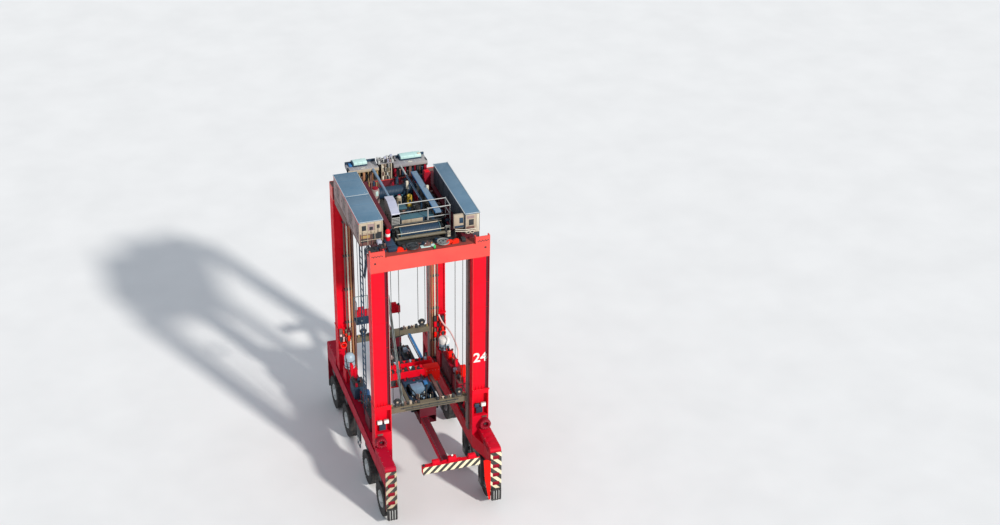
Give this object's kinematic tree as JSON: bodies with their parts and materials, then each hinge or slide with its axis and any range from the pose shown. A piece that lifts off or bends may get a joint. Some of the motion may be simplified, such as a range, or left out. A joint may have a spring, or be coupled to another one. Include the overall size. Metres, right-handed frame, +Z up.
{
  "type": "shuttle carrier",
  "caption": "Tall portal carrier for yard containers: red frame on two rows of steered wheels, top housings, rope-hoisted telescopic spreader.",
  "frame": {"origin": "on the ground, under the middle of the wheels", "axes": "+Z up, +Y towards the rear end, +X towards the side with the electrical cabinet"},
  "size_m": [5.053, 12.21, 12.8499],
  "materials": {
    "red_paint": "satin",
    "dark_frame": "satin",
    "grey_paint": "satin",
    "roof_blue": "satin",
    "beige_paint": "satin",
    "galvanised": "satin",
    "rope_steel": "matte",
    "pipe_tan": "matte",
    "lamp_white": "gloss",
    "hazard_yellow": "satin",
    "black_rubber": "matte",
    "tyre_black": "matte",
    "rim_white": "satin"
  },
  "bodies": {
    "frame": {"bogie_beam_left": "red_paint", "bogie_beam_right": "red_paint", "leg_front_left": "red_paint", "leg_front_right": "red_paint", "leg_rear_left": "red_paint", "leg_rear_right": "red_paint", "portal_beam_front": "red_paint", "portal_beam_rear": "red_paint", "side_girders": "red_paint", "deck_frame": "dark_frame", "rear_platform": "grey_paint", "engine_house": "roof_blue", "electric_cabinet": "roof_blue", "deck_units": "beige_paint", "deck_railings": "galvanised", "top_sheaves": "grey_paint", "hoist_ropes": "rope_steel", "guide_rails": "dark_frame", "cable_pipes": "pipe_tan", "access_ladder": "galvanised", "headlamps": "lamp_white", "nose_plates": "hazard_yellow", "bumper_posts": "black_rubber", "bogie_units": "grey_paint"},
    "spreader": {"spreader_flanges": "red_paint", "spreader_webs": "red_paint", "spreader_cross_beams": "dark_frame", "spreader_ties": "red_paint", "spreader_sheaves": "grey_paint", "spreader_head": "red_paint", "spreader_units": "dark_frame"},
    "drum_front": {"hoist_drum_front": "grey_paint"},
    "drum_rear": {"hoist_drum_rear": "grey_paint"},
    "front_arm": {"telescope_front": "red_paint"},
    "rear_arm": {"telescope_rear": "red_paint"},
    "hose_arm_body": {"hose_arm": "grey_paint"},
    "fork_left_1_body": {"fork_left_1": "dark_frame"},
    "wheel_left_1": {"rim_left_1": "rim_white", "tyre_left_1": "tyre_black"},
    "fork_left_2_body": {"fork_left_2": "dark_frame"},
    "wheel_left_2": {"rim_left_2": "rim_white", "tyre_left_2": "tyre_black"},
    "fork_left_3_body": {"fork_left_3": "dark_frame"},
    "wheel_left_3": {"rim_left_3": "rim_white", "tyre_left_3": "tyre_black"},
    "fork_left_4_body": {"fork_left_4": "dark_frame"},
    "wheel_left_4": {"rim_left_4": "rim_white", "tyre_left_4": "tyre_black"},
    "fork_right_1_body": {"fork_right_1": "dark_frame"},
    "wheel_right_1": {"rim_right_1": "rim_white", "tyre_right_1": "tyre_black"},
    "fork_right_2_body": {"fork_right_2": "dark_frame"},
    "wheel_right_2": {"rim_right_2": "rim_white", "tyre_right_2": "tyre_black"},
    "fork_right_3_body": {"fork_right_3": "dark_frame"},
    "wheel_right_3": {"rim_right_3": "rim_white", "tyre_right_3": "tyre_black"},
    "fork_right_4_body": {"fork_right_4": "dark_frame"},
    "wheel_right_4": {"rim_right_4": "rim_white", "tyre_right_4": "tyre_black"}
  },
  "joints": [
    {"name": "hoist", "type": "slide", "parent": "frame", "child": "spreader", "axis": [0, 0, 1], "range_m": [0, 5.8], "deforming": ["hoist_ropes"]},
    {"name": "drum_front_turn", "type": "hinge", "parent": "frame", "child": "drum_front", "pos_m": [0, -1.75, 11.82], "axis": [1, 0, 0], "range_deg": [-1, 2771]},
    {"name": "drum_rear_turn", "type": "hinge", "parent": "frame", "child": "drum_rear", "pos_m": [0, 1.7, 11.82], "axis": [1, 0, 0], "range_deg": [-1, 2771]},
    {"name": "telescope_front_slide", "type": "slide", "parent": "spreader", "child": "front_arm", "axis": [0, 1, 0], "range_m": [0, 3.066]},
    {"name": "telescope_rear_slide", "type": "slide", "parent": "spreader", "child": "rear_arm", "axis": [0, -1, 0], "range_m": [0, 3.066]},
    {"name": "hose_arm_fold", "type": "hinge", "parent": "spreader", "child": "hose_arm_body", "pos_m": [-1.09, -2.7, 4.44], "axis": [1, 0, 0], "range_deg": [-62.2, 0.2]},
    {"name": "steer_left_1", "type": "hinge", "parent": "frame", "child": "fork_left_1_body", "pos_m": [-2.245, -4.02, 0.75], "axis": [0, 0, 1], "range_deg": [-25, 25]},
    {"name": "spin_left_1", "type": "hinge", "parent": "fork_left_1_body", "child": "wheel_left_1", "pos_m": [-2.245, -4.02, 0.75], "axis": [1, 0, 0], "continuous": true},
    {"name": "steer_left_2", "type": "hinge", "parent": "frame", "child": "fork_left_2_body", "pos_m": [-2.245, -1.775, 0.75], "axis": [0, 0, 1], "range_deg": [-11.14, 11.14]},
    {"name": "spin_left_2", "type": "hinge", "parent": "fork_left_2_body", "child": "wheel_left_2", "pos_m": [-2.245, -1.775, 0.75], "axis": [1, 0, 0], "continuous": true},
    {"name": "steer_left_3", "type": "hinge", "parent": "frame", "child": "fork_left_3_body", "pos_m": [-2.245, 1.775, 0.75], "axis": [0, 0, 1], "range_deg": [-11.14, 11.14]},
    {"name": "spin_left_3", "type": "hinge", "parent": "fork_left_3_body", "child": "wheel_left_3", "pos_m": [-2.245, 1.775, 0.75], "axis": [1, 0, 0], "continuous": true},
    {"name": "steer_left_4", "type": "hinge", "parent": "frame", "child": "fork_left_4_body", "pos_m": [-2.245, 4.02, 0.75], "axis": [0, 0, 1], "range_deg": [-25.1, 25.1]},
    {"name": "spin_left_4", "type": "hinge", "parent": "fork_left_4_body", "child": "wheel_left_4", "pos_m": [-2.245, 4.02, 0.75], "axis": [1, 0, 0], "continuous": true},
    {"name": "steer_right_1", "type": "hinge", "parent": "frame", "child": "fork_right_1_body", "pos_m": [2.245, -4.02, 0.75], "axis": [0, 0, 1], "range_deg": [-25.1, 25.1]},
    {"name": "spin_right_1", "type": "hinge", "parent": "fork_right_1_body", "child": "wheel_right_1", "pos_m": [2.245, -4.02, 0.75], "axis": [1, 0, 0], "continuous": true},
    {"name": "steer_right_2", "type": "hinge", "parent": "frame", "child": "fork_right_2_body", "pos_m": [2.245, -1.775, 0.75], "axis": [0, 0, 1], "range_deg": [-11.14, 11.14]},
    {"name": "spin_right_2", "type": "hinge", "parent": "fork_right_2_body", "child": "wheel_right_2", "pos_m": [2.245, -1.775, 0.75], "axis": [1, 0, 0], "continuous": true},
    {"name": "steer_right_3", "type": "hinge", "parent": "frame", "child": "fork_right_3_body", "pos_m": [2.245, 1.775, 0.75], "axis": [0, 0, 1], "range_deg": [-11.14, 11.14]},
    {"name": "spin_right_3", "type": "hinge", "parent": "fork_right_3_body", "child": "wheel_right_3", "pos_m": [2.245, 1.775, 0.75], "axis": [1, 0, 0], "continuous": true},
    {"name": "steer_right_4", "type": "hinge", "parent": "frame", "child": "fork_right_4_body", "pos_m": [2.245, 4.02, 0.75], "axis": [0, 0, 1], "range_deg": [-25.1, 25.1]},
    {"name": "spin_right_4", "type": "hinge", "parent": "fork_right_4_body", "child": "wheel_right_4", "pos_m": [2.245, 4.02, 0.75], "axis": [1, 0, 0], "continuous": true}
  ],
  "couplings": [
    {"joint": "drum_front_turn", "follows": "hoist", "rad_per_m": 8.3333},
    {"joint": "drum_rear_turn", "follows": "hoist", "rad_per_m": 8.3333},
    {"joint": "telescope_rear_slide", "follows": "telescope_front_slide", "ratio": 1},
    {"joint": "hose_arm_fold", "follows": "hoist", "rad_per_m": -0.18657},
    {"joint": "steer_left_2", "follows": "steer_left_1", "ratio": 0.4415},
    {"joint": "steer_left_3", "follows": "steer_left_1", "ratio": -0.4415},
    {"joint": "steer_left_4", "follows": "steer_left_1", "ratio": -1},
    {"joint": "steer_right_1", "follows": "steer_left_1", "ratio": 1},
    {"joint": "steer_right_2", "follows": "steer_left_1", "ratio": 0.4415},
    {"joint": "steer_right_3", "follows": "steer_left_1", "ratio": -0.4415},
    {"joint": "steer_right_4", "follows": "steer_left_1", "ratio": -1}
  ]
}
